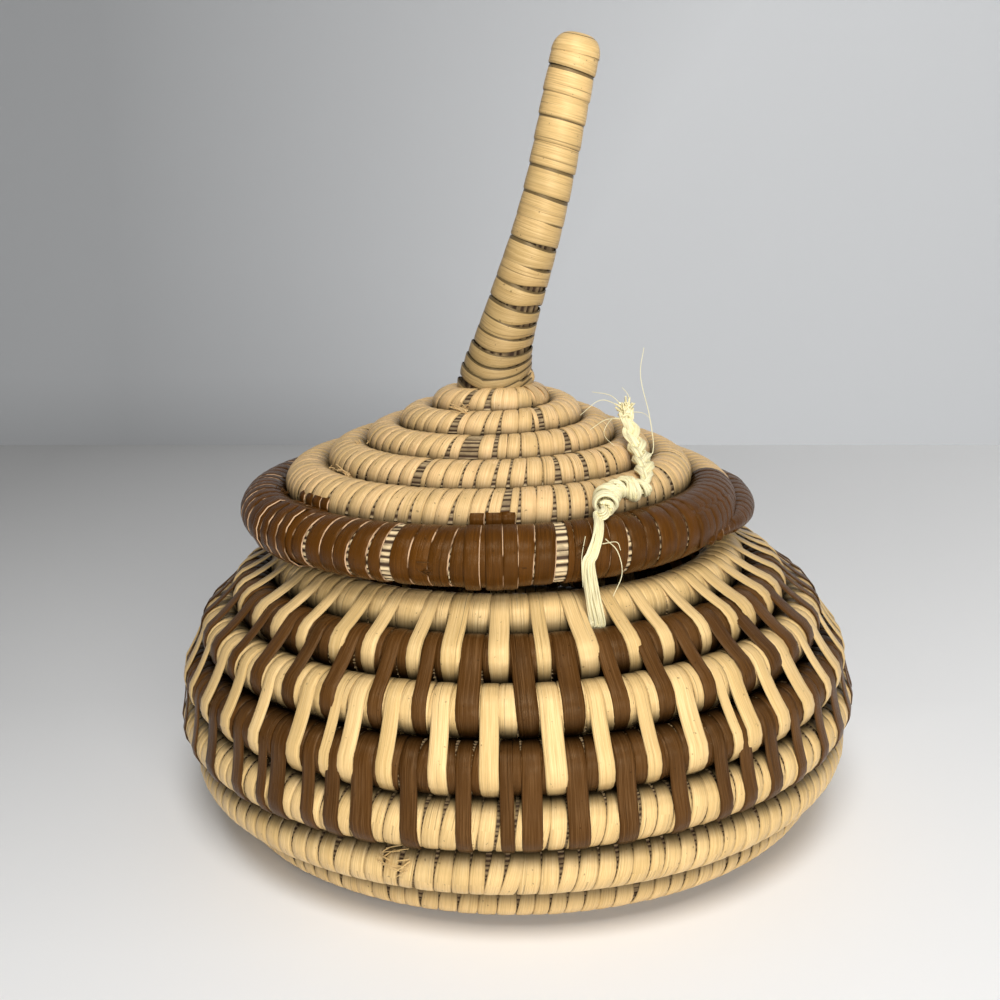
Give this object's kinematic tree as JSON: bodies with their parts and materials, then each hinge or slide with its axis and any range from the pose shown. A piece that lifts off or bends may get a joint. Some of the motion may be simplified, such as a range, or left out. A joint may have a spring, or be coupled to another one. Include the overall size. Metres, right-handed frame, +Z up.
{
  "type": "coiled basket with hinged lid",
  "caption": "Squat round coiled basket in natural and brown strips, with a conical coiled lid tied on by a fibre strand and an upright wrapped handle.",
  "frame": {"origin": "middle of the flat underside, at the bottom of the bounding box", "axes": "+Z up through the basket, -Y the front, +X the side to which the handle leans"},
  "size_m": [0.1597, 0.1597, 0.1782],
  "materials": {
    "natural_strip": "dried leaf strip, satin, straw coloured",
    "brown_strip": "dyed dried leaf strip, satin, dark brown",
    "grass_bundle": "bundled dry grass, matte",
    "tie_fibre": "pale twisted leaf fibre, matte",
    "handle_stick": "bare stick, matte"
  },
  "bodies": {
    "basket": {"body_coil": "grass_bundle", "natural_binding_row_1": "natural_strip", "brown_binding_row_2": "brown_strip", "natural_binding_row_3": "natural_strip", "brown_binding_row_4": "brown_strip", "natural_binding_row_5": "natural_strip", "natural_binding_row_6": "natural_strip", "natural_binding_row_7": "natural_strip", "tie_loop": "tie_fibre"},
    "lid": {"lid_coil": "grass_bundle", "natural_binding_lid_ring_1": "natural_strip", "natural_binding_lid_ring_2": "natural_strip", "natural_binding_lid_ring_3": "natural_strip", "natural_binding_lid_ring_4": "natural_strip", "natural_binding_lid_ring_5": "natural_strip", "brown_binding_lid_splice": "brown_strip", "brown_binding_lid_rim": "brown_strip", "handle_core": "handle_stick", "handle_wrap": "natural_strip", "handle_foot_strip": "natural_strip", "tie_strand": "tie_fibre", "tie_knot": "tie_fibre", "tie_plait": "tie_fibre", "tie_tuft": "tie_fibre"}
  },
  "joints": [
    {"name": "lid_tip", "type": "hinge", "parent": "basket", "child": "lid", "pos_m": [0.01704, -0.05706, 0.07375], "axis": [0.9367, 0.3502, 0], "range_deg": [0, 110]}
  ]
}
